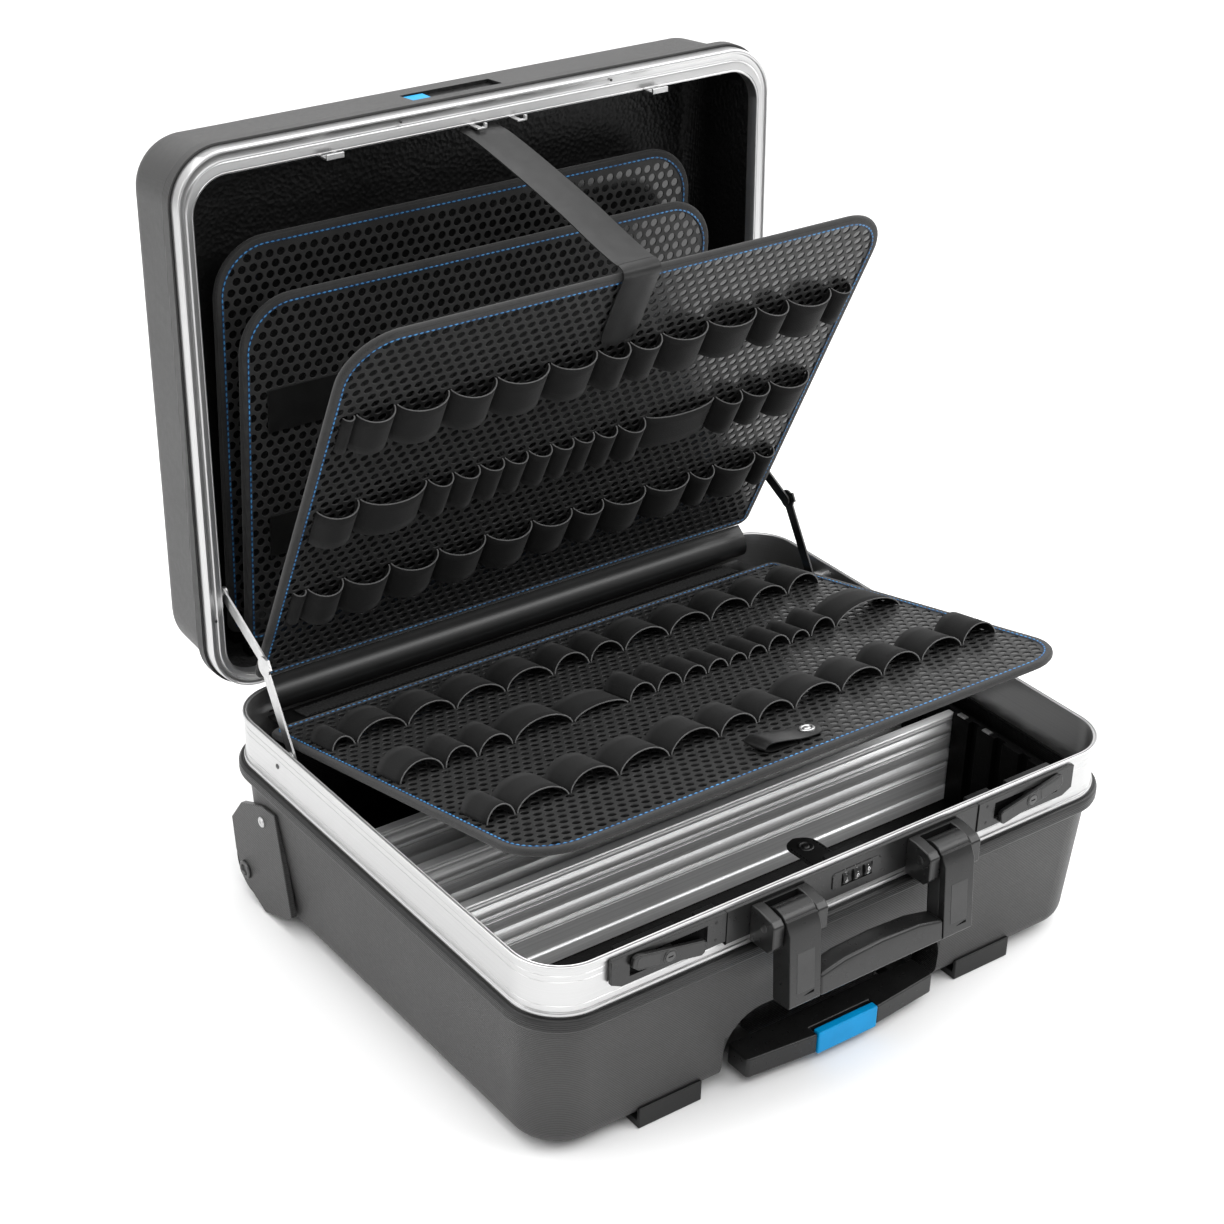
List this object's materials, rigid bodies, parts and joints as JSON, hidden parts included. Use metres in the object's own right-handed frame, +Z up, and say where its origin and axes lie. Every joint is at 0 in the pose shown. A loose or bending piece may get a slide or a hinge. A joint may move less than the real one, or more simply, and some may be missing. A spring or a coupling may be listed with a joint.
{
  "type": "hard tool case",
  "caption": "Wheeled hard tool case, open, with aluminium frame, front locks, folding handle, pull-out trolley grip, honeycomb tool boards with elastic loops and slotted inner dividers.",
  "frame": {"origin": "on the floor under the middle of the open case", "axes": "+X along the case's length, -Y the front with the locks, +Z up"},
  "size_m": [0.498, 0.5338, 0.5432],
  "materials": {
    "aluminium_frame": "brushed extrusion with rolled edges",
    "shell_plastic": "fine grained moulded shell",
    "black_plastic": "satin moulding",
    "blue_plastic": "satin moulding",
    "tyre_rubber": "solid rubber",
    "liner": "textured lining",
    "board_skin": "honeycomb embossed sheet with bound edge",
    "elastic": "woven elastic band",
    "strap_leather": "smooth leatherette with stitching",
    "black_metal": "black coated",
    "bright_metal": "plated steel"
  },
  "bodies": {
    "base": {"base_frame": "aluminium_frame", "base_shell": "shell_plastic", "inner_floor": "liner", "front_feet": "black_plastic", "wheel_housings": "shell_plastic", "axle_bolts": "black_metal", "housing_screws": "bright_metal", "trolley_channels": "black_metal", "side_racks": "black_plastic", "cross_dividers": "aluminium_frame", "rack_clips": "bright_metal", "hinge_base_leaves": "bright_metal", "hinge_pins": "bright_metal", "board_flap": "strap_leather", "stay_base_pivots": "bright_metal", "lock_bezels": "black_plastic", "lock_boxes": "black_metal", "front_strip": "black_plastic", "combination_frame": "black_plastic", "handle_brackets": "black_plastic", "handle_pins": "bright_metal", "snap_strap": "strap_leather"},
    "lid": {"lid_frame": "aluminium_frame", "lid_shell": "shell_plastic", "badge_plate": "blue_plastic", "hinge_lid_leaves": "bright_metal", "lid_keepers": "bright_metal", "lid_board_anchors": "liner", "stay_lid_pivots": "bright_metal", "strap_run": "strap_leather"},
    "spine": {"board_spine": "strap_leather"},
    "front_tool_board": {"front_board": "board_skin", "front_board_loops": "elastic", "strap_tab": "strap_leather"},
    "middle_tool_board": {"middle_board": "board_skin"},
    "rear_tool_board": {"rear_board": "board_skin"},
    "base_tool_board": {"base_board": "board_skin", "base_board_loops": "elastic", "base_board_tab": "strap_leather"},
    "stay_low_left": {"stay_lower_left": "bright_metal"},
    "stay_low_right": {"stay_lower_right": "bright_metal"},
    "stay_top_left": {"stay_upper_left": "bright_metal"},
    "stay_top_right": {"stay_upper_right": "bright_metal"},
    "lever_left": {"lock_lever_left": "black_plastic"},
    "lever_right": {"lock_lever_right": "black_plastic"},
    "key_left": {"key_cylinder_left": "black_metal"},
    "key_right": {"key_cylinder_right": "black_metal"},
    "dial_1": {"number_dial_1": "black_plastic"},
    "dial_2": {"number_dial_2": "black_plastic"},
    "dial_3": {"number_dial_3": "black_plastic"},
    "handle": {"handle_arms": "black_plastic", "handle_grip": "black_plastic"},
    "trolley_stage": {"trolley_middle_tubes": "aluminium_frame"},
    "trolley_top": {"trolley_inner_tubes": "aluminium_frame", "trolley_grip": "black_plastic"},
    "button": {"trolley_button": "blue_plastic"},
    "wheel_left": {"wheel_tyre_left": "tyre_rubber", "wheel_rim_left": "black_plastic"},
    "wheel_right": {"wheel_tyre_right": "tyre_rubber", "wheel_rim_right": "black_plastic"}
  },
  "joints": [
    {"name": "lid_hinge", "type": "hinge", "parent": "base", "child": "lid", "pos_m": [0, 0.16118, 0.1496], "axis": [1, 0, 0], "range_deg": [0, 92.7]},
    {"name": "spine_hinge", "type": "hinge", "parent": "base", "child": "spine", "pos_m": [0, 0.15038, 0.141], "axis": [1, 0, 0], "range_deg": [0, 21.7]},
    {"name": "front_board_hinge", "type": "hinge", "parent": "spine", "child": "front_tool_board", "pos_m": [0, 0.15388, 0.1688], "axis": [1, 0, 0], "range_deg": [0, 42.64], "deforming": ["strap_run"]},
    {"name": "base_board_hinge", "type": "hinge", "parent": "base", "child": "base_tool_board", "pos_m": [0, 0.12308, 0.1397], "axis": [1, 0, 0], "range_deg": [0, 17.62], "deforming": ["snap_strap"]},
    {"name": "middle_board_hinge", "type": "hinge", "parent": "lid", "child": "middle_tool_board", "pos_m": [0, 0.20342, 0.16643], "axis": [1, 0, 0], "range_deg": [-5.22, 0]},
    {"name": "rear_board_hinge", "type": "hinge", "parent": "lid", "child": "rear_tool_board", "pos_m": [0, 0.2254, 0.16539], "axis": [1, 0, 0], "range_deg": [-3.32, 0]},
    {"name": "stay_low_left_pivot", "type": "hinge", "parent": "base", "child": "stay_low_left", "pos_m": [0, 0.08388, 0.143], "axis": [1, 0, 0], "range_deg": [0, 122.79]},
    {"name": "stay_low_right_pivot", "type": "hinge", "parent": "base", "child": "stay_low_right", "pos_m": [0, 0.08388, 0.143], "axis": [1, 0, 0], "range_deg": [0, 122.79]},
    {"name": "stay_top_left_pivot", "type": "hinge", "parent": "lid", "child": "stay_top_left", "pos_m": [0, 0.17738, 0.228], "axis": [1, 0, 0], "range_deg": [-102.22, 0]},
    {"name": "stay_top_right_pivot", "type": "hinge", "parent": "lid", "child": "stay_top_right", "pos_m": [0, 0.17738, 0.228], "axis": [1, 0, 0], "range_deg": [-102.22, 0]},
    {"name": "handle_swing", "type": "hinge", "parent": "base", "child": "handle", "pos_m": [0, -0.24762, 0.141], "axis": [-1, 0, 0], "range_deg": [-3, 90]},
    {"name": "lever_left_turn", "type": "hinge", "parent": "base", "child": "lever_left", "pos_m": [-0.155, -0.23662, 0.142], "axis": [0, -1, 0], "range_deg": [0, 11]},
    {"name": "lever_right_turn", "type": "hinge", "parent": "base", "child": "lever_right", "pos_m": [0.155, -0.23662, 0.142], "axis": [0, 1, 0], "range_deg": [0, 11]},
    {"name": "key_left_turn", "type": "hinge", "parent": "lever_left", "child": "key_left", "pos_m": [-0.155, -0.23662, 0.142], "axis": [0, 1, 0], "range_deg": [0, 90]},
    {"name": "key_right_turn", "type": "hinge", "parent": "lever_right", "child": "key_right", "pos_m": [0.155, -0.23662, 0.142], "axis": [0, 1, 0], "range_deg": [0, 90]},
    {"name": "dial_1_turn", "type": "hinge", "parent": "base", "child": "dial_1", "pos_m": [-0.0094, -0.22992, 0.1405], "axis": [1, 0, 0], "continuous": true},
    {"name": "dial_2_turn", "type": "hinge", "parent": "base", "child": "dial_2", "pos_m": [0, -0.22992, 0.1405], "axis": [1, 0, 0], "continuous": true},
    {"name": "dial_3_turn", "type": "hinge", "parent": "base", "child": "dial_3", "pos_m": [0.0094, -0.22992, 0.1405], "axis": [1, 0, 0], "continuous": true},
    {"name": "trolley_stage_slide", "type": "slide", "parent": "base", "child": "trolley_stage", "axis": [0, -1, 0], "range_m": [0, 0.265]},
    {"name": "trolley_top_slide", "type": "slide", "parent": "trolley_stage", "child": "trolley_top", "axis": [0, -1, 0], "range_m": [0, 0.265]},
    {"name": "button_press", "type": "slide", "parent": "trolley_top", "child": "button", "axis": [0, 1, 0], "range_m": [0, 0.0025], "stiffness_N_per_m": 600},
    {"name": "wheel_left_spin", "type": "hinge", "parent": "base", "child": "wheel_left", "pos_m": [-0.2285, 0.13738, 0.024], "axis": [1, 0, 0], "continuous": true},
    {"name": "wheel_right_spin", "type": "hinge", "parent": "base", "child": "wheel_right", "pos_m": [0.2285, 0.13738, 0.024], "axis": [1, 0, 0], "continuous": true}
  ],
  "couplings": [
    {"joint": "spine_hinge", "follows": "lid_hinge", "ratio": 0.23383},
    {"joint": "front_board_hinge", "follows": "lid_hinge", "ratio": 0.45981},
    {"joint": "base_board_hinge", "follows": "lid_hinge", "ratio": 0.18986},
    {"joint": "middle_board_hinge", "follows": "lid_hinge", "ratio": -0.056095},
    {"joint": "rear_board_hinge", "follows": "lid_hinge", "ratio": -0.035599},
    {"joint": "stay_low_left_pivot", "follows": "lid_hinge", "ratio": 1.3244},
    {"joint": "stay_low_right_pivot", "follows": "lid_hinge", "ratio": 1.3244},
    {"joint": "stay_top_left_pivot", "follows": "lid_hinge", "ratio": -1.1025},
    {"joint": "stay_top_right_pivot", "follows": "lid_hinge", "ratio": -1.1025}
  ]
}
